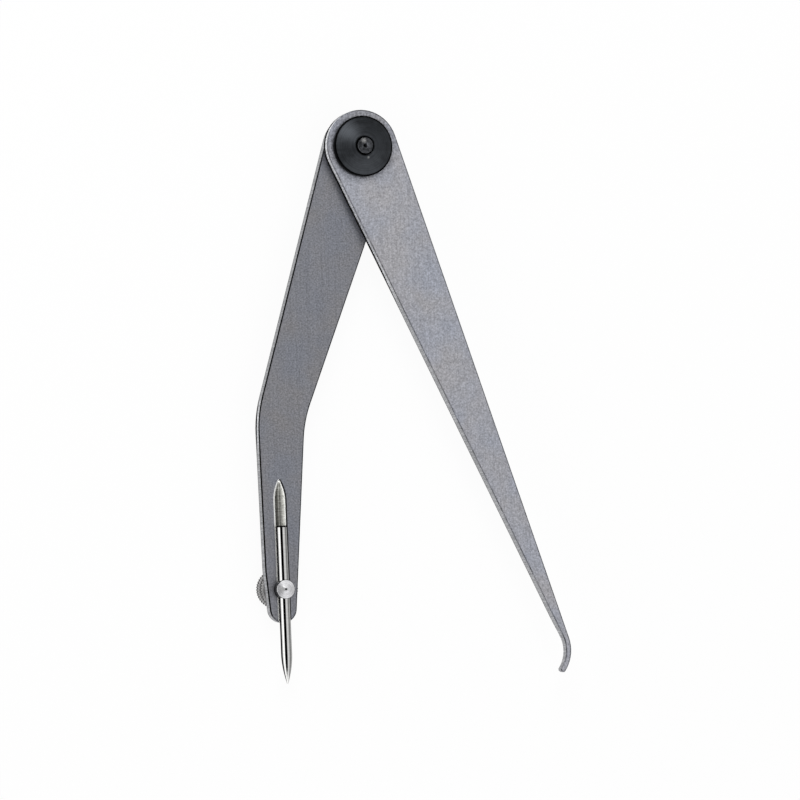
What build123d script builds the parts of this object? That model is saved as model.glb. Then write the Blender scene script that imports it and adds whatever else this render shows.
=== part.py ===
from build123d import *
import math
import os

# A firm-joint odd leg caliper lying on its back, in millimetres and degrees.
# The pivot axis is Z, the scriber is parallel to Y, and Z = 0 is the back of the pivot bolt's head.

# Stock and finish of both legs
leg_thickness = 3.2
edge_break = 0.2
face_break_width = 0.3
face_break_depth = 0.15

# Hook leg, drawn with its centre line along -Y and then swung to its place at rest
hook_head_radius = 9.8
hook_rest_angle = 21.35
hook_centre_distance = 142.5
hook_outer_radius = 9.9
hook_blade_width = 1.45
hook_turn = 62
hook_tip_radius = 0.65
hook_relief_length = 17
hook_relief_depth = 1.4

# Scriber, its place beside the pivot and the groove that it lies in
scriber_offset = 25.7
scriber_top_y = -99.9
scriber_diameter = 2.9
scriber_length = 41.6
point_length = 7.5
point_bulge = 0.28
point_flat = 0.12
scriber_end_break = 0.2
groove_width = 3.0
groove_half_angle = 45
groove_floor = 0.3
groove_tip_y = -87.9
cutter_radius = 11
groove_clearance = 0.03

# Scriber leg outline: its neck from the pivot, its straight end beside the scriber, its nose below the stud
scriber_head_radius = 9.1
neck_corner = (2.4, -22.0)
bend_y = -70.5
inner_bend_drop = 1.8
inner_margin = 7.75
outer_margin = 5.1
shoulder_margin = 4.65
shoulder_rise = 4.6
nose_drop = 5.2
nose_shift = 0.15
nose_radius = 3.65
bend_radius = 32
shoulder_radius = 40
neck_radius = 60

# Clamp stud and its knurled nut
stud_y = -116.6
stud_diameter = 5.05
stud_crown_height = 2.7
stud_crown_slope = 0.25
stud_centre_diameter = 0.7
stud_hole_clearance = 0.06
stud_recess = 0.5
eye_clearance = 0.06
stud_thread_diameter = 3.5
stud_thread_end = 0.3
thread_end_break = 0.4
nut_diameter = 10.3
nut_thickness = 5.2
nut_chamfer = 0.3
nut_bevel_width = 0.55
nut_bevel_depth = 0.28
nut_play = 0.04
nut_thread_clearance = 0.05
knurl_teeth = 44
knurl_depth = 0.3

# Firm joint
journal_diameter = 7
journal_clearance = 0.04
journal_set_back = 0.3
square_across = 7.2
square_clearance = 0.03
washer_thickness = 0.5
washer_diameter = 17
bolt_head_diameter = 16
bolt_head_thickness = 2.4
bolt_head_rim = 1.2
bolt_head_flat = 9
joint_nut_diameter = 16.2
joint_nut_height = 2.8
joint_nut_rim = 1.15
joint_nut_land = 6.2
joint_nut_countersink = 5.7
joint_thread_diameter = 5
joint_thread_clearance = 0.02
bolt_end_stand = 0.1
bolt_end_break = 0.45
centre_mark_diameter = 1.3
stake_diameter = 0.9
stake_angle = -78
stake_distance = 3.3
rim_break = 0.15

# Corners of the scriber leg and the centre of its round nose
scriber_x = -scriber_offset
inner_bend = (scriber_x + inner_margin, bend_y - inner_bend_drop)
outer_bend = (scriber_x - outer_margin, bend_y)
shoulder_corner = (scriber_x - shoulder_margin, stud_y + shoulder_rise)
nose_centre = (scriber_x - nose_shift, stud_y - nose_drop)

# Levels along the pivot axis
leg_back = bolt_head_thickness
leg_face = leg_back + leg_thickness
hook_back = leg_face + washer_thickness
hook_face = hook_back + leg_thickness
joint_top = hook_face + joint_nut_height

# Height of the scriber's axis, where it touches both walls of the groove but for the clearance
scriber_radius = scriber_diameter / 2
half_angle = math.radians(groove_half_angle)
wall_to_axis = (scriber_radius + groove_clearance) / math.sin(half_angle)
seat_height = wall_to_axis - groove_width / 2 / math.tan(half_angle)
scriber_z = leg_face + seat_height
groove_depth = (groove_width - groove_floor) / 2 / math.tan(half_angle)
cut_over = 2


def touch_point(centre, radius, corner, side):
    """Point where a line from the corner touches the circle, with side 1 to its left and -1 to its right."""
    dx, dy = centre[0] - corner[0], centre[1] - corner[1]
    distance = math.hypot(dx, dy)
    swing = side * math.asin(radius / distance)
    reach = math.sqrt(distance**2 - radius**2)
    heading = math.atan2(dy, dx) + swing
    return corner[0] + reach * math.cos(heading), corner[1] + reach * math.sin(heading)


def circle_point(centre, radius, degrees):
    angle = math.radians(degrees)
    return centre[0] + radius * math.cos(angle), centre[1] + radius * math.sin(angle)


def round_corners(face, corners, radius):
    picked = [face.vertices().sort_by_distance((x, y, 0))[0] for x, y in corners]
    return fillet(picked, radius)


def flat_blank(outline, back):
    """Leg cut from flat stock, its outer edges broken behind and bevelled wide and low round the face."""
    blank = Pos(0, 0, back) * extrude(outline, leg_thickness)
    rear = blank.faces().sort_by(Axis.Z)[0]
    blank = chamfer(rear.outer_wire().edges(), edge_break)
    face = blank.faces().sort_by(Axis.Z)[-1]
    return chamfer(face.outer_wire().edges(), face_break_width, face_break_depth, reference=face)


def drill(x, y, diameter, low, high):
    return Pos(x, y, (low + high) / 2) * Cylinder(diameter / 2, high - low)


def turned(points):
    """Solid of revolution about Z from (radius, height) points."""
    profile = make_face(Polyline(*[(r, 0, z) for r, z in points], close=True))
    return revolve(profile, Axis.Z)


def hook_outline():
    """Head and hook arcs joined by lines that touch both, so the taper follows from the blade's width."""
    taper = math.asin((hook_head_radius - hook_blade_width / 2) / hook_centre_distance)
    centre_x = -(hook_outer_radius - hook_blade_width / 2) / math.cos(taper)
    centre = (centre_x, -hook_centre_distance)
    inner_radius = hook_outer_radius - hook_blade_width
    slope = math.degrees(taper)
    head_right = circle_point((0, 0), hook_head_radius, -slope)
    head_left = circle_point((0, 0), hook_head_radius, 180 + slope)
    outer_start = circle_point(centre, hook_outer_radius, -slope)
    outer_middle = circle_point(centre, hook_outer_radius, -(slope + hook_turn) / 2)
    outer_end = circle_point(centre, hook_outer_radius, -hook_turn)
    inner_end = circle_point(centre, inner_radius, -hook_turn)
    inner_middle = circle_point(centre, inner_radius, (slope - hook_turn) / 2)
    inner_start = circle_point(centre, inner_radius, slope)
    rim = [
        ThreePointArc(head_left, (0, hook_head_radius), head_right),
        Line(head_right, outer_start),
        ThreePointArc(outer_start, outer_middle, outer_end),
        Line(outer_end, inner_end),
        ThreePointArc(inner_end, inner_middle, inner_start),
        Line(inner_start, head_left),
    ]
    return round_corners(make_face(rim), [outer_end, inner_end], hook_tip_radius)


def hook_relief():
    """Wedge behind the hook, which thins it towards its tip."""
    reach = hook_centre_distance + hook_outer_radius * math.sin(math.radians(hook_turn))
    start_y = hook_relief_length - reach
    corners = [(0, start_y, hook_back), (0, -reach, hook_back), (0, -reach, hook_back + hook_relief_depth)]
    return extrude(make_face(Polyline(*corners, close=True)), hook_outer_radius, dir=(1, 0, 0), both=True)


def scriber_leg_outline():
    head_left = touch_point((0, 0), scriber_head_radius, outer_bend, 1)
    head_right = touch_point((0, 0), scriber_head_radius, neck_corner, -1)
    nose_left = touch_point(nose_centre, nose_radius, shoulder_corner, -1)
    nose_right = touch_point(nose_centre, nose_radius, inner_bend, 1)
    nose_end = circle_point(nose_centre, nose_radius, -90)
    rim = [
        ThreePointArc(head_left, (0, scriber_head_radius), head_right),
        Polyline(head_right, neck_corner, inner_bend, nose_right),
        ThreePointArc(nose_right, nose_end, nose_left),
        Polyline(nose_left, shoulder_corner, outer_bend, head_left),
    ]
    face = round_corners(make_face(rim), [inner_bend, outer_bend], bend_radius)
    face = round_corners(face, [shoulder_corner], shoulder_radius)
    return round_corners(face, [neck_corner], neck_radius)


def scriber_groove():
    """Vee groove that runs out of the nose, ended by the pointed arch that its round cutter leaves."""
    half_top = groove_width / 2 + cut_over * math.tan(half_angle)
    floor_z = leg_face - groove_depth
    top_z = leg_face + cut_over
    run_out = math.sqrt(2 * cutter_radius * groove_depth - groove_depth**2)
    cutter_y = groove_tip_y - run_out
    cutter_axis = Axis((0, cutter_y, floor_z + cutter_radius), (1, 0, 0))
    corners = [
        (scriber_x - half_top, cutter_y, top_z),
        (scriber_x - groove_floor / 2, cutter_y, floor_z),
        (scriber_x + groove_floor / 2, cutter_y, floor_z),
        (scriber_x + half_top, cutter_y, top_z),
    ]
    section = make_face(Polyline(*corners, close=True))
    nose_end_y = nose_centre[1] - nose_radius
    channel = extrude(section, cutter_y - nose_end_y + cut_over, dir=(0, -1, 0))
    return channel + revolve(section, cutter_axis, 90)


def make_hook_leg():
    blank = flat_blank(hook_outline(), hook_back)
    bore = drill(0, 0, journal_diameter + 2 * journal_clearance, hook_back, hook_face)
    return Rot(0, 0, hook_rest_angle) * (blank - bore - hook_relief())


def make_scriber_leg():
    blank = flat_blank(scriber_leg_outline(), leg_back)
    square = Pos(0, 0, leg_back) * extrude(Rectangle(square_across, square_across), leg_thickness)
    stud_hole = drill(scriber_x, stud_y, stud_diameter + 2 * stud_hole_clearance, leg_back, leg_face)
    return blank - square - stud_hole - scriber_groove()


def make_pivot_bolt():
    """Low round head, square neck in the scriber leg, journal for the hook leg and threaded end."""
    head_radius = bolt_head_diameter / 2
    journal_radius = journal_diameter / 2
    thread_radius = joint_thread_diameter / 2
    journal_end = hook_face - journal_set_back
    end_z = joint_top + bolt_end_stand
    dished = bolt_head_thickness - bolt_head_rim
    body = turned([
        (0, 0),
        (bolt_head_flat / 2, 0),
        (head_radius, dished),
        (head_radius, leg_back),
        (journal_radius, leg_back),
        (journal_radius, journal_end),
        (thread_radius, journal_end),
        (thread_radius, end_z - bolt_end_break),
        (thread_radius - bolt_end_break, end_z),
        (centre_mark_diameter / 2, end_z),
        (0, end_z - centre_mark_diameter / 2),
    ])
    neck_across = square_across - 2 * square_clearance
    neck = Pos(0, 0, leg_back) * extrude(Rectangle(neck_across, neck_across), leg_thickness)
    return body + neck


def make_pivot_nut():
    """Domed round nut, countersunk round its thread and staked once so that it can't work loose."""
    rim_radius = joint_nut_diameter / 2
    land_radius = joint_nut_land / 2
    mouth_radius = joint_nut_countersink / 2
    bore_radius = joint_thread_diameter / 2 + joint_thread_clearance
    rim_top = hook_face + joint_nut_rim
    dome_edge = rim_radius - rim_break
    centre_z = (joint_top**2 - rim_top**2 + land_radius**2 - dome_edge**2) / (2 * (joint_top - rim_top))
    dome_radius = math.hypot(land_radius, joint_top - centre_z)
    middle_radius = (dome_edge + land_radius) / 2
    middle_z = centre_z + math.sqrt(dome_radius**2 - middle_radius**2)
    dome = ThreePointArc((dome_edge, 0, rim_top), (middle_radius, 0, middle_z), (land_radius, 0, joint_top))
    sides = Polyline(
        (land_radius, 0, joint_top),
        (mouth_radius, 0, joint_top),
        (bore_radius, 0, joint_top - mouth_radius + bore_radius),
        (bore_radius, 0, hook_face),
        (rim_radius, 0, hook_face),
        (rim_radius, 0, rim_top - rim_break),
        (rim_radius - rim_break, 0, rim_top),
    )
    nut = revolve(make_face([dome, sides]), Axis.Z)
    stake_x, stake_y = circle_point((0, 0), stake_distance, stake_angle)
    punch = Pos(stake_x, stake_y, joint_top) * Cone(0, stake_diameter / 2, stake_diameter / 2)
    return nut - punch


def make_joint_washer():
    hole_diameter = journal_diameter + 2 * journal_clearance
    disc = drill(0, 0, washer_diameter, leg_face, hook_back)
    return disc - drill(0, 0, hole_diameter, leg_face, hook_back)


def make_scriber():
    """Ground rod with a flat top end and an ogival point."""
    point_start = scriber_length - point_length
    middle_radius = (scriber_radius + point_flat) / 2 + point_bulge
    middle_height = point_start + point_length / 2
    tip = (point_flat, 0, scriber_length)
    ogive = ThreePointArc((scriber_radius, 0, point_start), (middle_radius, 0, middle_height), tip)
    sides = Polyline(
        tip,
        (0, 0, scriber_length),
        (0, 0, 0),
        (scriber_radius - scriber_end_break, 0, 0),
        (scriber_radius, 0, scriber_end_break),
        (scriber_radius, 0, point_start),
    )
    rod = revolve(make_face([ogive, sides]), Axis.Z)
    return Pos(scriber_x, scriber_top_y, scriber_z) * Rot(90, 0, 0) * rod


def make_clamp_stud():
    """Round stud with a shallow coned and centred crown, an eye for the scriber and a threaded tail."""
    body_radius = stud_diameter / 2
    tail_radius = stud_thread_diameter / 2
    crown_z = leg_face + stud_crown_height
    body_bottom = leg_back + stud_recess
    tail_bottom = leg_back - nut_play - nut_thickness + stud_thread_end
    centre_radius = stud_centre_diameter / 2
    stud = turned([
        (0, crown_z - centre_radius),
        (centre_radius, crown_z),
        (body_radius - rim_break, crown_z - stud_crown_slope),
        (body_radius, crown_z - stud_crown_slope - rim_break),
        (body_radius, body_bottom),
        (tail_radius, body_bottom),
        (tail_radius, tail_bottom + thread_end_break),
        (tail_radius - thread_end_break, tail_bottom),
        (0, tail_bottom),
    ])
    eye = Rot(90, 0, 0) * Cylinder(scriber_radius + eye_clearance, 2 * stud_diameter)
    return Pos(scriber_x, stud_y, 0) * stud - Pos(scriber_x, stud_y, scriber_z) * eye


def make_clamp_nut():
    """Thumb nut with straight vee knurling, chamfered behind and bevelled on its clamping face."""
    radius = nut_diameter / 2
    bore_radius = stud_thread_diameter / 2 + nut_thread_clearance
    top = leg_back - nut_play
    bottom = top - nut_thickness
    blank = turned([
        (bore_radius + nut_chamfer, top),
        (radius - nut_bevel_width, top),
        (radius, top - nut_bevel_depth),
        (radius, bottom + nut_chamfer),
        (radius - nut_chamfer, bottom),
        (bore_radius + nut_chamfer, bottom),
        (bore_radius, bottom + nut_chamfer),
        (bore_radius, top - nut_chamfer),
    ])
    step = 360 / knurl_teeth
    rim = []
    for tooth in range(knurl_teeth):
        rim.append(circle_point((0, 0), radius, tooth * step))
        rim.append(circle_point((0, 0), radius - knurl_depth, (tooth + 0.5) * step))
    knurl = Pos(0, 0, bottom) * extrude(make_face(Polyline(*rim, close=True)), nut_thickness)
    return Pos(scriber_x, stud_y, 0) * (blank & knurl)


parts = {
    "hook_leg": make_hook_leg(),
    "scriber_leg": make_scriber_leg(),
    "pivot_bolt": make_pivot_bolt(),
    "pivot_nut": make_pivot_nut(),
    "joint_washer": make_joint_washer(),
    "scriber": make_scriber(),
    "clamp_stud": make_clamp_stud(),
    "clamp_nut": make_clamp_nut(),
}

os.makedirs("parts", exist_ok=True)
for name, part in parts.items():
    export_step(part, f"parts/{name}.step")
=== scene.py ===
import math
from collections import namedtuple

import bpy
from mathutils import Matrix, Vector


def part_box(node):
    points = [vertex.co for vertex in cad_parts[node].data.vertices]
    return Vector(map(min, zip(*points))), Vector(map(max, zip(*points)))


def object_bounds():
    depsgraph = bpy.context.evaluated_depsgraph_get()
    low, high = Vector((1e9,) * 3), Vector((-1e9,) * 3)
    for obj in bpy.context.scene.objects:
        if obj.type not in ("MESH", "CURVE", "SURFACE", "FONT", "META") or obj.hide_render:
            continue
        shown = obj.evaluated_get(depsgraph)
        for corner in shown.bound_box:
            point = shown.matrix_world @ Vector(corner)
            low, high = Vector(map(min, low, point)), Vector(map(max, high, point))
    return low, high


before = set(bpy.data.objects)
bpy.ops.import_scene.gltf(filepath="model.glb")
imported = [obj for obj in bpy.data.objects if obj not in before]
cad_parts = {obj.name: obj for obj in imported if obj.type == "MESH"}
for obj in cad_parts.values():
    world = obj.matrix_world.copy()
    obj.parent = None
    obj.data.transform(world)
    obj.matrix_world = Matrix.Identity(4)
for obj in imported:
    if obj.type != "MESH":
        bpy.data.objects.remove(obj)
cad_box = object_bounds()

# An odd leg caliper lying on its back, in metres, seen from above and a little to its left.
MM = 0.001
ORIGIN = (0.0, 0.0, 0.0)
WHITE = (1.0, 1.0, 1.0)

# Places that the looks depend on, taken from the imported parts
leg_low, leg_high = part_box("scriber_leg")
rod_low, rod_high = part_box("scriber")
stud_low, stud_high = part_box("clamp_stud")
thumb_low, thumb_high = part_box("clamp_nut")
nut_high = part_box("pivot_nut")[1]
LEG_BACK = leg_low.z
LEG_FACE = leg_high.z
HOOK_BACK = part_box("hook_leg")[0].z
NUT_RADIUS = nut_high.x
NUT_TOP = nut_high.z
STUD_RADIUS = (stud_high.x - stud_low.x) / 2
THUMB_RADIUS = (thumb_high.x - thumb_low.x) / 2
SCRIBER_X = (rod_low.x + rod_high.x) / 2
STUD_CENTRE = (SCRIBER_X, (thumb_low.y + thumb_high.y) / 2, 0.0)
FLOOR_Z = cad_box[0][2]

# The scriber leg's vee groove and the round cutter, which leaves a pointed end. The groove gets painted light
# and shade on its slopes, a painted highlight on its arrises and left rim, and painted shade on its right rim
GROOVE_HALF_WIDTH = 1.5 * MM
GROOVE_DEPTH = 1.35 * MM
GROOVE_TIP_Y = -87.9 * MM
CUTTER_RADIUS = 11.0 * MM
CUTTER_Y = GROOVE_TIP_Y - math.sqrt(2 * CUTTER_RADIUS * GROOVE_DEPTH - GROOVE_DEPTH**2)
GROOVE_MARGIN = 0.3 * MM
GROOVE_DARK = (0.22, 0.22, 0.2, 1.0)
GROOVE_LIGHT = (0.74, 0.74, 0.7, 1.0)
ARRIS_HIGHLIGHT = (1.0, 1.0, 0.98, 1.0)
ARRIS_HEIGHT = 0.22 * MM
RIM_HIGHLIGHT = (0.95, 0.95, 0.94, 1.0)
RIM_SHADE = (0.03, 0.03, 0.03, 1.0)
LEFT_RIM_HIGHLIGHT_WIDTH = 0.24 * MM
RIGHT_RIM_SHADE_WIDTH = 0.4 * MM

# The scriber: its steel, the level of the painted shade on it, how far up its normal points in the middle of
# the painted shade line along its left side, and the width of the painted shade round its flat end
ROD_DARK = (0.6, 0.6, 0.59, 1.0)
ROD_LIGHT = (0.78, 0.78, 0.77, 1.0)
ROD_PAINTED_SHADE = 0.02
SHADE_LINE_UP = 0.14
END_SHADE_WIDTH = 0.4 * MM

# Camera
CAMERA_PLACE = (-0.29895, -0.10466, 0.9367)
CAMERA_TARGET = (0.00761, -0.06776, 0.0093)
CAMERA_UP = (0.0436, 0.9990, 0.0)
CAMERA_LENS = 165.4
SENSOR_WIDTH = 36.0
NEAR_CLIP = 0.01
FAR_CLIP = 20.0

# Studio. A stop is an angle in degrees from overhead towards the right, and the room's brightness there.
# An end is how far a direction has to point along Y for it to begin and to be full, and its brightness.
FLOOR_SIZE = 6.0
FLOOR_GREY = 0.95
FLOOR_GLOW_SHARE = 0.93
WORLD_STOPS = [
    (-180, 0.9), (-54, 1.6), (-46, 0.0), (1, 0.0), (9, 0.87), (34, 0.87), (70, 0.3), (90, 0.2), (180, 0.9)
]
FAR_END = (0.45, 0.65, 0.1)
NEAR_END = (-0.35, -0.6, 1.5)
KEY_PLACE = (-0.31, 0.69, 0.97)
KEY_SIZE = 0.7
KEY_POWER = 7.0

# Noise scales, in cells a metre
CLOUDS = 90.0
SMUDGES = 260.0
WEAR = 700.0
PITS = 1300.0
STAINS = 1500.0
MILLING = 2200.0
GRAIN = 2300.0
BRUSHING = 2600.0
ROD_RINGS = 3000.0
STROKES = 3500.0
SPECKLE = 4200.0
LATHE_RINGS = 5200.0

# Heights of the bumps
GRAIN_RELIEF = 0.014 * MM
LATHE_RELIEF = 0.008 * MM
ROD_RELIEF = 0.004 * MM

# Parts of a leg, told apart by how far their normal points up, and how far it points along X on left walls
WALL_BELOW = 0.35
BEVEL_ABOVE = 0.6
BEVEL_BELOW = 0.97
FACE_ABOVE = 0.98
FULLY_LEFT = -0.8
HARDLY_LEFT = -0.3

# Faces of the legs: two tints of their steel, and how far the oily stain round the joint takes to fade out
COOL = (0.95, 0.98, 1.06)
WARM = (1.02, 1.0, 1.0)
STAIN_FADE = 2.2 * MM

# Walls of the legs, which the blanking die burnished above a torn strip. The torn strip's darkness is partly
# that torn zone and partly painted shade along the wall's foot, and a painted shade strip darkens the wall's
# top.
WALL_DARK = (0.26, 0.263, 0.273, 1.0)
WALL_LIGHT = (0.6, 0.605, 0.62, 1.0)
WALL_ROUGHNESS = 0.8
TORN_AND_SHADED_GREY = 0.17
TORN_AND_SHADED_HEIGHT = 0.6 * MM
STRIP_SHADE = 0.1

# Where a left wall carries a painted shadow along its foot: fully within one distance of the middle and none
# beyond the other, to a height, in a grey, with the bevel above darkened by a share of painted shade. The
# painted shadow also takes the glint away there, and the burnished wall above it is painted brighter.
PaintedShadow = namedtuple("PaintedShadow", "middle full_within none_beyond height grey bevel_share")
HOOK_PAINTED_SHADOW = PaintedShadow(ORIGIN, 34.0 * MM, 46.0 * MM, 1.6 * MM, 0.012, 0.0)
BEND_PAINTED_SHADOW = PaintedShadow((leg_low.x, -73.1 * MM, LEG_BACK), 2.0 * MM, 9.0 * MM, 1.6 * MM, 0.02, 1.0)
PAINTED_WALL_LIGHT = 1.6
PAINTED_SHADOW_BEVEL_SHADE = 0.02
PAINTED_SHADOW_SPECULAR = 0.05

# Soft bright spots: the nick that stakes the joint nut, and a painted highlight on the bolt's end
MarkOrHighlight = namedtuple("MarkOrHighlight", "middle reach grey")
STAKE_DISTANCE = 3.3 * MM
STAKE_ANGLE = math.radians(-78.0)
STAKE_MIDDLE = (STAKE_DISTANCE * math.cos(STAKE_ANGLE), STAKE_DISTANCE * math.sin(STAKE_ANGLE), NUT_TOP)
STAKE_MARK = MarkOrHighlight(STAKE_MIDDLE, 0.42 * MM, 0.24)
BOLT_HIGHLIGHT = MarkOrHighlight((-0.4 * MM, 1.3 * MM, NUT_TOP), 0.9 * MM, 0.3)

# Turned pieces: a factor of painted shade for what lies between two radii and two heights, and the side
# painted lighter as a painted highlight
Zone = namedtuple("Zone", "factor inner outer bottom top", defaults=(0.0, 1.0, -1.0, 1.0))
LIT_SIDE = (-0.85, 0.53, 0.0)

# Looks of a surface: a colour, a roughness and the height that its bump follows
Finish = namedtuple("Finish", "colour roughness relief")

Parts = namedtuple("Parts", "x y z")


def look_at(place, target, up):
    back = (Vector(place) - Vector(target)).normalized()
    right = Vector(up).cross(back).normalized()
    top = back.cross(right)
    turn = Matrix((right, top, back)).transposed().to_4x4()
    return Matrix.Translation(place) @ turn


def make_camera():
    lens = bpy.data.cameras.new("camera")
    lens.lens = CAMERA_LENS
    lens.sensor_width = SENSOR_WIDTH
    lens.clip_start = NEAR_CLIP
    lens.clip_end = FAR_CLIP
    camera = bpy.data.objects.new("camera", lens)
    bpy.context.scene.collection.objects.link(camera)
    camera.matrix_world = look_at(CAMERA_PLACE, CAMERA_TARGET, CAMERA_UP)
    bpy.context.scene.camera = camera


def make_key_light():
    lamp = bpy.data.lights.new("key", "AREA")
    lamp.shape = "DISK"
    lamp.size = KEY_SIZE
    lamp.energy = KEY_POWER
    light = bpy.data.objects.new("key", lamp)
    bpy.context.scene.collection.objects.link(light)
    light.matrix_world = look_at(KEY_PLACE, CAMERA_TARGET, (0, 0, 1))


class Nodes:
    """Short way to build a node tree: each call adds one or two nodes and returns the last one's output."""

    def __init__(self, tree):
        self.tree = tree
        tree.nodes.clear()

    def add(self, kind, inputs=(), output=0, **settings):
        node = self.tree.nodes.new("ShaderNode" + kind)
        for key, value in settings.items():
            setattr(node, key, value)
        for key, value in dict(inputs).items():
            self.put(node.inputs[key], value)
        return node.outputs[output]

    def put(self, socket, value):
        if isinstance(value, bpy.types.NodeSocket):
            self.tree.links.new(value, socket)
        else:
            socket.default_value = value

    def math(self, operation, first, second=0.0, clamp=False):
        return self.add("Math", {0: first, 1: second}, operation=operation, use_clamp=clamp)

    def product(self, first, *others):
        for other in others:
            first = self.math("MULTIPLY", first, other)
        return first

    def above(self, value, limit):
        """1 where the value is above the limit, and 0 elsewhere."""
        return self.math("GREATER_THAN", value, limit)

    def below(self, value, limit):
        return self.math("LESS_THAN", value, limit)

    def between(self, value, low, high):
        return self.product(self.above(value, low), self.below(value, high))

    def vector(self, operation, first, second=ORIGIN, output="Vector"):
        return self.add("VectorMath", {0: first, 1: second}, output, operation=operation)

    def scaled(self, vector, scale):
        return self.vector("MULTIPLY", vector, scale)

    def distance(self, place, middle=ORIGIN):
        return self.vector("DISTANCE", place, middle, "Value")

    def parts(self, vector):
        """The vector's X, Y and Z."""
        node = self.tree.nodes.new("ShaderNodeSeparateXYZ")
        self.put(node.inputs[0], vector)
        return Parts(node.outputs["X"], node.outputs["Y"], node.outputs["Z"])

    def shaded(self, colour, level):
        """Colour times a number."""
        return self.scaled(colour, self.add("CombineXYZ", {0: level, 1: level, 2: level}))

    def noise(self, vector, scale, detail=2.0, roughness=0.5):
        inputs = {"Vector": vector, "Scale": scale, "Detail": detail, "Roughness": roughness}
        return self.add("TexNoise", inputs)

    def spread(self, value, low, high, new_low=0.0, new_high=1.0):
        """Value between low and high, brought between two other numbers and held there."""
        inputs = {"Value": value, "From Min": low, "From Max": high, "To Min": new_low, "To Max": new_high}
        return self.add("MapRange", inputs)

    def vary(self, noise, low=0.0, high=1.0):
        """Noise brought between low and high."""
        return self.spread(noise, 0.3, 0.7, low, high)

    def mix(self, share, first, second):
        """Colour between first and second."""
        node = self.tree.nodes.new("ShaderNodeMix")
        node.data_type = "RGBA"
        self.put(node.inputs["Factor"], share)
        self.put(node.inputs[6], first)
        self.put(node.inputs[7], second)
        return node.outputs[2]

    def blend(self, share, first, second):
        """Number between first and second."""
        node = self.tree.nodes.new("ShaderNodeMix")
        self.put(node.inputs["Factor"], share)
        self.put(node.inputs[2], first)
        self.put(node.inputs[3], second)
        return node.outputs[0]

    def cover(self, share, lower, upper):
        """The lower finish with the upper one over it."""
        return Finish(
            self.mix(share, lower.colour, upper.colour),
            self.blend(share, lower.roughness, upper.roughness),
            self.blend(share, lower.relief, upper.relief),
        )

    def bump(self, height, distance, strength=1.0, normal=None):
        inputs = {"Height": height, "Distance": distance, "Strength": strength}
        if normal is not None:
            inputs["Normal"] = normal
        return self.add("Bump", inputs)

    def finish(self, shader, output="OutputMaterial"):
        node = self.tree.nodes.new("ShaderNode" + output)
        self.tree.links.new(shader, node.inputs["Surface"])


def grey(level):
    return (level, level, level, 1.0)


def tinted(colour, factors):
    return tuple(c * k for c, k in zip(colour, factors)) + (1.0,)


def new_material(name):
    material = bpy.data.materials.new(name)
    material.use_nodes = True
    return material, Nodes(material.node_tree)


def make_world():
    """White room with a black band overhead and a dark right side and far end, for the steel to mirror."""
    world = bpy.data.worlds.new("studio")
    bpy.context.scene.world = world
    world.use_nodes = True
    build = Nodes(world.node_tree)
    direction = build.parts(build.add("TexCoord", output="Generated"))
    lean = build.math("ARCTAN2", direction.x, direction.z)
    ramp = build.tree.nodes.new("ShaderNodeValToRGB")
    build.put(ramp.inputs[0], build.spread(lean, -math.pi, math.pi))
    band = ramp.color_ramp.elements
    band.remove(band[1])
    for index, (degrees, level) in enumerate(WORLD_STOPS):
        position = (degrees + 180) / 360
        stop = band[0] if index == 0 else band.new(position)
        stop.position = position
        stop.color = grey(level)
    room = ramp.outputs["Color"]
    for begins, full, level in (FAR_END, NEAR_END):
        room = build.mix(build.spread(direction.y, begins, full), room, grey(level))
    path = build.tree.nodes.new("ShaderNodeLightPath")
    colour = build.mix(path.outputs["Is Camera Ray"], room, grey(1.0))
    build.finish(build.add("Background", {"Color": colour, "Strength": 1.0}), "OutputWorld")


def floor_material():
    material, build = new_material("floor")
    paper = build.add("BsdfDiffuse", {"Color": grey(FLOOR_GREY)})
    glow = build.add("Emission", {"Color": grey(1.0), "Strength": 1.0})
    path = build.tree.nodes.new("ShaderNodeLightPath")
    seen = build.math("ADD", path.outputs["Is Camera Ray"], path.outputs["Is Glossy Ray"])
    seen = build.math("ADD", seen, path.outputs["Is Transmission Ray"], clamp=True)
    build.finish(build.add("MixShader", {0: build.product(seen, FLOOR_GLOW_SHARE), 1: paper, 2: glow}))
    return material


def make_floor():
    half = FLOOR_SIZE / 2
    corners = [(-half, -half, FLOOR_Z), (half, -half, FLOOR_Z), (half, half, FLOOR_Z), (-half, half, FLOOR_Z)]
    mesh = bpy.data.meshes.new("floor")
    mesh.from_pydata(corners, [], [(0, 1, 2, 3)])
    floor = bpy.data.objects.new("floor", mesh)
    bpy.context.scene.collection.objects.link(floor)
    mesh.materials.append(floor_material())


def face_finish(build, place, colour, stain):
    """Brushed and grained face. Where stain isn't 0, oil darkens it out to that distance from the pivot."""
    clouds = build.noise(place, CLOUDS, 3.0)
    grain = build.noise(place, GRAIN, 3.0, 0.6)
    speckle = build.noise(place, SPECKLE)
    brushing = build.noise(build.scaled(place, (1.0, 0.02, 1.0)), BRUSHING, 2.0, 0.6)
    tint = build.mix(build.spread(clouds, 0.35, 0.65), tinted(colour, COOL), tinted(colour, WARM))
    shade = build.product(build.vary(grain, 0.67, 1.33), build.vary(brushing, 0.92, 1.08))
    if stain:
        from_pivot = build.distance(build.scaled(place, (1.0, 1.0, 0.0)))
        drops = build.spread(build.noise(place, STAINS, 4.0, 0.75), 0.38, 0.62)
        oil = build.product(drops, build.spread(from_pivot, stain, stain + STAIN_FADE, 0.9, 0.0))
        shade = build.product(shade, build.blend(oil, 1.0, 0.3))
    relief = build.math("ADD", grain, build.product(speckle, 0.6))
    return Finish(build.shaded(tint, shade), build.vary(clouds, 0.42, 0.5), relief)


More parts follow.
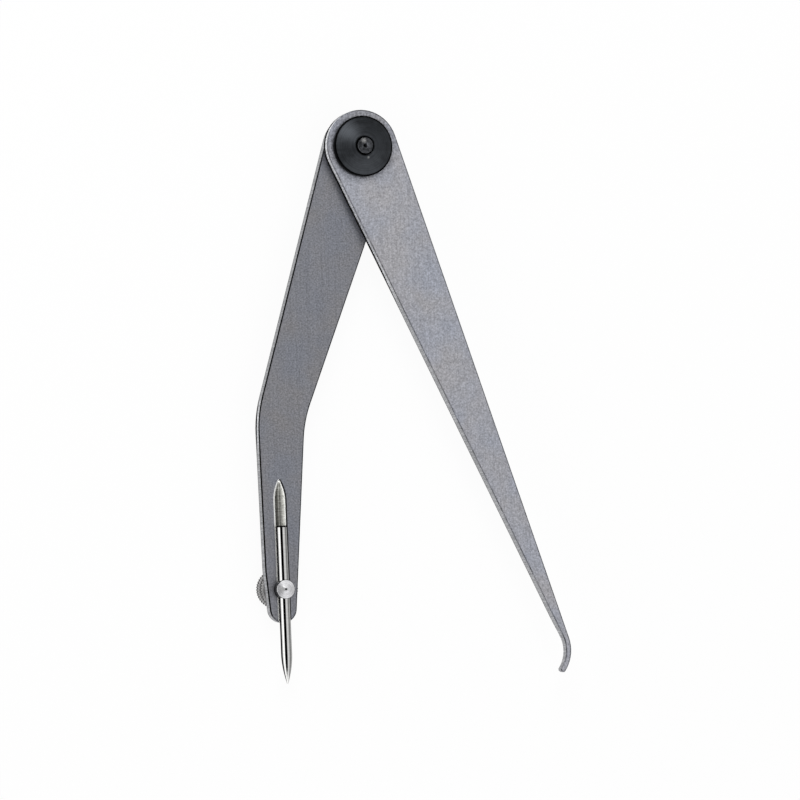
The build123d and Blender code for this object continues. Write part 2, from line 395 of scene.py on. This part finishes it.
def wall_finish(build, place, height, torn_and_shaded, near_painted_shadow, painted_shadow, top_shade_height):
    """Streaked wall, burnished above and darker below, partly the torn zone and partly painted shade; near
    the painted shadow its foot is painted black and its burnished part painted brighter, and a painted shade
    strip runs along its top.
    """
    streaks = build.noise(build.scaled(place, (1.0, 1.0, 0.05)), STROKES, 3.0, 0.7)
    burnished = build.mix(build.vary(streaks), WALL_DARK, WALL_LIGHT)
    # Painted light: the burnished wall is brighter near the painted shadow
    burnished = build.shaded(burnished, build.blend(near_painted_shadow, 1.0, PAINTED_WALL_LIGHT))
    # The lower strip is darker, partly the torn zone and partly painted shade, and black in the painted
    # shadow
    colour = build.mix(torn_and_shaded, burnished, build.mix(near_painted_shadow, grey(TORN_AND_SHADED_GREY), grey(painted_shadow.grey)))
    # Painted shade strip along the wall's top
    thickness = LEG_FACE - LEG_BACK
    strip_low = build.blend(near_painted_shadow, thickness - top_shade_height, thickness - 0.2 * top_shade_height)
    colour = build.mix(build.above(height, strip_low), colour, build.shaded(colour, STRIP_SHADE))
    return Finish(colour, WALL_ROUGHNESS, streaks)


def groove_half_width(build, y):
    """Half of the groove's width in the leg's face, which its round cutter brings to a point at the end."""
    past = build.math("MAXIMUM", build.math("SUBTRACT", y, CUTTER_Y), 0.0)
    squared = build.math("SUBTRACT", CUTTER_RADIUS**2, build.product(past, past))
    rise = build.math("SUBTRACT", CUTTER_RADIUS, build.math("SQRT", squared))
    return build.math("SUBTRACT", GROOVE_HALF_WIDTH, rise)


def add_groove(build, place, up, finish):
    """The finish with the milled groove in it: slopes with painted light and shade, lighter to the right,
    painted highlights on the arrises and along the left rim, and painted shade along the right rim."""
    where = build.parts(place)
    across = build.math("SUBTRACT", where.x, SCRIBER_X)
    from_rim = build.math("SUBTRACT", build.math("ABSOLUTE", across), groove_half_width(build, where.y))
    low_end = build.below(where.y, GROOVE_TIP_Y + GROOVE_MARGIN)
    sunk = build.between(where.z, LEG_BACK + 0.1 * MM, LEG_FACE - 0.03 * MM)
    cut = build.product(build.below(from_rim, 0.02 * MM), low_end, sunk, build.above(up, 0.0))
    # Painted highlight: the arrises along the groove's top edges are near white
    highlit_arris = build.above(where.z, LEG_FACE - ARRIS_HEIGHT)
    milling = build.noise(build.scaled(place, (0.2, 1.0, 0.2)), MILLING, 4.0, 0.75)
    slope = build.mix(build.vary(milling), GROOVE_DARK, GROOVE_LIGHT)
    # Painted light and shade: the slopes are darker at the left and lighter towards the right
    slope = build.shaded(slope, build.spread(across, -1.25 * MM, 1.25 * MM, 0.1, 1.45))
    milled = Finish(build.mix(highlit_arris, slope, ARRIS_HIGHLIGHT), build.blend(highlit_arris, 0.5, 0.7), milling)
    finish = build.cover(cut, finish, milled)

    # Painted highlight along the groove's left rim and painted shade along its right rim
    right = build.above(across, 0.0)
    rim = build.between(from_rim, 0.0, build.blend(right, LEFT_RIM_HIGHLIGHT_WIDTH, RIGHT_RIM_SHADE_WIDTH))
    painted_rim = build.product(rim, low_end, build.above(up, FACE_ABOVE))
    return finish._replace(colour=build.mix(painted_rim, finish.colour, build.mix(right, RIM_HIGHLIGHT, RIM_SHADE)))


def ground_steel(name, colour, back, painted_shadow, bevel_shade, bevel_roughness, top_shade_height=0.0, stain=0.0, groove=False):
    """Steel of a leg from a blanking die: grained faces, bevels darkened in dashes by painted shade, and
    streaked walls with painted shade and a painted shadow.
    """
    material, build = new_material(name)
    coordinates = build.tree.nodes.new("ShaderNodeTexCoord")
    place = coordinates.outputs["Object"]
    facing = build.parts(coordinates.outputs["Normal"])
    wall = build.below(build.math("ABSOLUTE", facing.z), WALL_BELOW)
    bevel = build.between(facing.z, BEVEL_ABOVE, BEVEL_BELOW)

    dashes = build.noise(place, WEAR, 4.0, 0.7)
    # Painted shadow along the foot of the left walls near its middle, ragged along its top
    within = build.spread(build.distance(place, painted_shadow.middle), painted_shadow.full_within, painted_shadow.none_beyond, 1.0, 0.0)
    near_painted_shadow = build.product(within, build.spread(facing.x, FULLY_LEFT, HARDLY_LEFT, 1.0, 0.0))
    height = build.math("SUBTRACT", build.parts(place).z, back)
    dark_foot_top = build.product(build.blend(near_painted_shadow, TORN_AND_SHADED_HEIGHT, painted_shadow.height), build.vary(dashes, 0.88, 1.1))
    torn_and_shaded = build.below(height, dark_foot_top)

    finish = face_finish(build, place, colour, stain)
    finish = build.cover(wall, finish, wall_finish(build, place, height, torn_and_shaded, near_painted_shadow, painted_shadow, top_shade_height))
    # Bevels darkened by painted shade in dashes, and nearly black in the painted shadow
    shadowed_bevel = build.product(near_painted_shadow, painted_shadow.bevel_share)
    dashed_bevel_shade = build.spread(dashes, 0.35, 0.65, bevel_shade * 0.6, bevel_shade * 1.6)
    bevel_colour = build.shaded(finish.colour, build.blend(shadowed_bevel, dashed_bevel_shade, PAINTED_SHADOW_BEVEL_SHADE))
    finish = build.cover(bevel, finish, Finish(bevel_colour, bevel_roughness, finish.relief))
    if groove:
        finish = add_groove(build, place, facing.z, finish)

    # The painted shadow and its black bevel also lose their glint, a painted dark reflection
    painted_black = build.math("MAXIMUM", build.product(wall, torn_and_shaded, near_painted_shadow), build.product(bevel, shadowed_bevel))
    inputs = {
        "Base Color": finish.colour,
        "Specular Tint": build.shaded(WHITE, build.blend(painted_black, 1.0, PAINTED_SHADOW_SPECULAR)),
        "Metallic": 1.0,
        "Roughness": finish.roughness,
        "Normal": build.bump(finish.relief, GRAIN_RELIEF, 0.6),
    }
    build.finish(build.add("BsdfPrincipled", inputs))
    return material


def turned_metal(
    name, centre, colour, roughness, anisotropy, zones=(), pits=0.0, mottle=0.2, mark_or_highlight=None, lit_share=0.0
):
    """Metal with fine lathe rings about an upright axis through the centre, which fan its highlights out.
    Its shade varies by the share mottle, and one side is painted lighter by a share, a painted highlight."""
    material, build = new_material(name)
    place = build.add("TexCoord", output="Object")
    arm = build.vector("SUBTRACT", place, centre)
    flat = build.scaled(arm, (1.0, 1.0, 0.0))
    radius = build.distance(flat)
    height = build.parts(arm).z
    rings = build.noise(build.add("CombineXYZ", {0: radius, 1: height, 2: 0.0}), LATHE_RINGS, 2.0, 0.7)
    wear = build.noise(place, WEAR, 4.0, 0.6)
    level = build.product(build.vary(wear, 1.0 - mottle, 1.0 + mottle), build.vary(rings, 0.75, 1.25))
    # Zones of painted shade
    for zone in zones:
        inside = build.between(radius, zone.inner, zone.outer)
        inside = build.product(inside, build.between(height, zone.bottom, zone.top))
        level = build.product(level, build.blend(inside, 1.0, zone.factor))
    # Painted highlight: one side lighter
    if lit_share:
        side = build.vector("DOT_PRODUCT", build.vector("NORMALIZE", flat), LIT_SIDE, "Value")
        level = build.product(level, build.spread(side, -1.0, 1.0, 1.0 - lit_share, 1.0 + lit_share))
    base = build.shaded(colour, level)
    # A bright spot: the staking nick on the nut, and a painted highlight on the bolt's end
    if mark_or_highlight:
        near_spot = build.spread(build.distance(place, mark_or_highlight.middle), mark_or_highlight.reach * 0.3, mark_or_highlight.reach, 1.0, 0.0)
        base = build.mix(near_spot, base, grey(mark_or_highlight.grey))

    around = build.vector("CROSS_PRODUCT", (0.0, 0.0, 1.0), flat)
    tangent = build.vector("CROSS_PRODUCT", around, build.add("NewGeometry", output="Normal"))
    normal = build.bump(rings, LATHE_RELIEF, 0.6)
    if pits:
        normal = build.bump(build.noise(place, PITS, 3.0, 0.6), pits, 1.0, normal)
    inputs = {
        "Base Color": base,
        "Metallic": 1.0,
        "Roughness": build.vary(wear, roughness * 0.85, roughness * 1.15),
        "Anisotropic": anisotropy,
        "Tangent": build.vector("NORMALIZE", tangent),
        "Normal": normal,
    }
    build.finish(build.add("BsdfPrincipled", inputs))
    return material


def polished_rod(name):
    """Ground and polished rod along Y, with faint rings round it, a painted shade line along its left side,
    and painted shade on its right side and round its flat end, which also dims its reflection there."""
    material, build = new_material(name)
    coordinates = build.tree.nodes.new("ShaderNodeTexCoord")
    place = coordinates.outputs["Object"]
    facing = build.parts(coordinates.outputs["Normal"])
    rings = build.noise(build.scaled(place, (0.05, 1.0, 0.05)), ROD_RINGS, 3.0, 0.7)
    smudges = build.noise(place, SMUDGES, 3.0)

    # Painted shade: a dark line along the left side, the right side darker, and a dark edge round the flat
    # end
    from_line = build.math("ABSOLUTE", build.math("SUBTRACT", facing.z, SHADE_LINE_UP))
    line_shade = build.spread(from_line, 0.26, 0.44, ROD_PAINTED_SHADE, 1.0)
    left_shade = build.blend(build.below(facing.x, -0.5), 1.0, line_shade)
    right_shade = build.spread(facing.x, 0.2, 0.95, 1.0, 0.4)
    shaded_end = build.above(build.parts(place).y, rod_high.y - END_SHADE_WIDTH)
    shaded_end = build.product(shaded_end, build.below(facing.y, 0.9))
    shade = build.product(left_shade, right_shade, build.blend(shaded_end, 1.0, ROD_PAINTED_SHADE))
    inputs = {
        "Base Color": build.shaded(build.mix(build.vary(rings), ROD_DARK, ROD_LIGHT), shade),
        "Specular Tint": build.shaded(WHITE, shade),
        "Metallic": 1.0,
        "Roughness": build.vary(smudges, 0.05, 0.09),
        "Normal": build.bump(rings, ROD_RELIEF, 0.4),
    }
    build.finish(build.add("BsdfPrincipled", inputs))
    return material


def dress(node, material):
    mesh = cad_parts[node].data
    mesh.materials.clear()
    mesh.materials.append(material)


def dress_legs():
    """Light hook leg with an oily stain round the nut, and a darker scriber leg with its groove."""
    # Painted shade on both legs' bevels and walls, with a painted shadow near the joint on the hook leg and
    # at the bend
    hook_steel = ground_steel(
        "hook_leg_steel", (0.445, 0.45, 0.475), HOOK_BACK, HOOK_PAINTED_SHADOW,
        bevel_shade=0.45, bevel_roughness=0.5, stain=NUT_RADIUS
    )
    leg_steel = ground_steel(
        "scriber_leg_steel", (0.27, 0.272, 0.285), LEG_BACK, BEND_PAINTED_SHADOW,
        bevel_shade=0.3, bevel_roughness=0.15, top_shade_height=0.45 * MM, groove=True
    )
    dress("hook_leg", hook_steel)
    dress("scriber_leg", leg_steel)


def dress_joint():
    """Black nut with painted shade round its rim, and a bolt whose pitted end has painted shade round its
    edge and in its centre and a painted highlight.
    """
    # Painted shade round the nut's rim, and round the bolt end's edge and in its centre
    nut_rim_shade = Zone(0.05, inner=NUT_RADIUS - 0.45 * MM)
    bolt_end_low = 5.0 * MM
    black_steel = turned_metal(
        "black_steel", ORIGIN, (0.048, 0.052, 0.058), roughness=0.45, anisotropy=0.6,
        zones=[nut_rim_shade], mark_or_highlight=STAKE_MARK
    )
    bolt_edge_shade = Zone(0.03, inner=2.12 * MM, outer=2.6 * MM, bottom=bolt_end_low)
    bolt_centre_shade = Zone(0.15, outer=0.45 * MM, bottom=bolt_end_low)
    bolt_steel = turned_metal(
        "bolt_steel", ORIGIN, (0.07, 0.073, 0.08), roughness=0.25, anisotropy=0.0,
        zones=[bolt_edge_shade, bolt_centre_shade], pits=0.2 * MM, mottle=0.7, mark_or_highlight=BOLT_HIGHLIGHT
    )
    washer_steel = turned_metal(
        "washer_steel", ORIGIN, (0.12, 0.12, 0.12), roughness=0.5, anisotropy=0.2
    )
    dress("pivot_nut", black_steel)
    dress("pivot_bolt", bolt_steel)
    dress("joint_washer", washer_steel)


def dress_clamp():
    """Bright stud with painted shade on its rim and centre and a painted highlight on one side, and a nut
    with painted shade below its front and at its back.
    """
    # Painted shade on the stud's rim and centre, and on the thumb nut below its front and at its back
    stud_rim_shade = Zone(0.05, inner=STUD_RADIUS - 0.12 * MM, bottom=0.0)
    stud_centre_shade = Zone(0.15, outer=0.35 * MM, bottom=0.0)
    stud_steel = turned_metal(
        "stud_steel", STUD_CENTRE, (0.8, 0.8, 0.82), roughness=0.24, anisotropy=0.85,
        zones=[stud_rim_shade, stud_centre_shade], lit_share=0.2
    )
    knurl = THUMB_RADIUS - 0.9 * MM
    front_shade = Zone(0.22, inner=knurl, bottom=thumb_high.z - 2.0 * MM, top=thumb_high.z - 0.4 * MM)
    rear_shade = Zone(0.15, inner=knurl, top=thumb_low.z + 1.3 * MM)
    nut_steel = turned_metal(
        "nut_steel", STUD_CENTRE, (0.4, 0.395, 0.395), roughness=0.6, anisotropy=0.0, zones=[front_shade, rear_shade]
    )
    dress("scriber", polished_rod("scriber_steel"))
    dress("clamp_stud", stud_steel)
    dress("clamp_nut", nut_steel)


bpy.context.scene.view_settings.view_transform = "Standard"
make_camera()
make_world()
make_key_light()
make_floor()
dress_legs()
dress_joint()
dress_clamp()
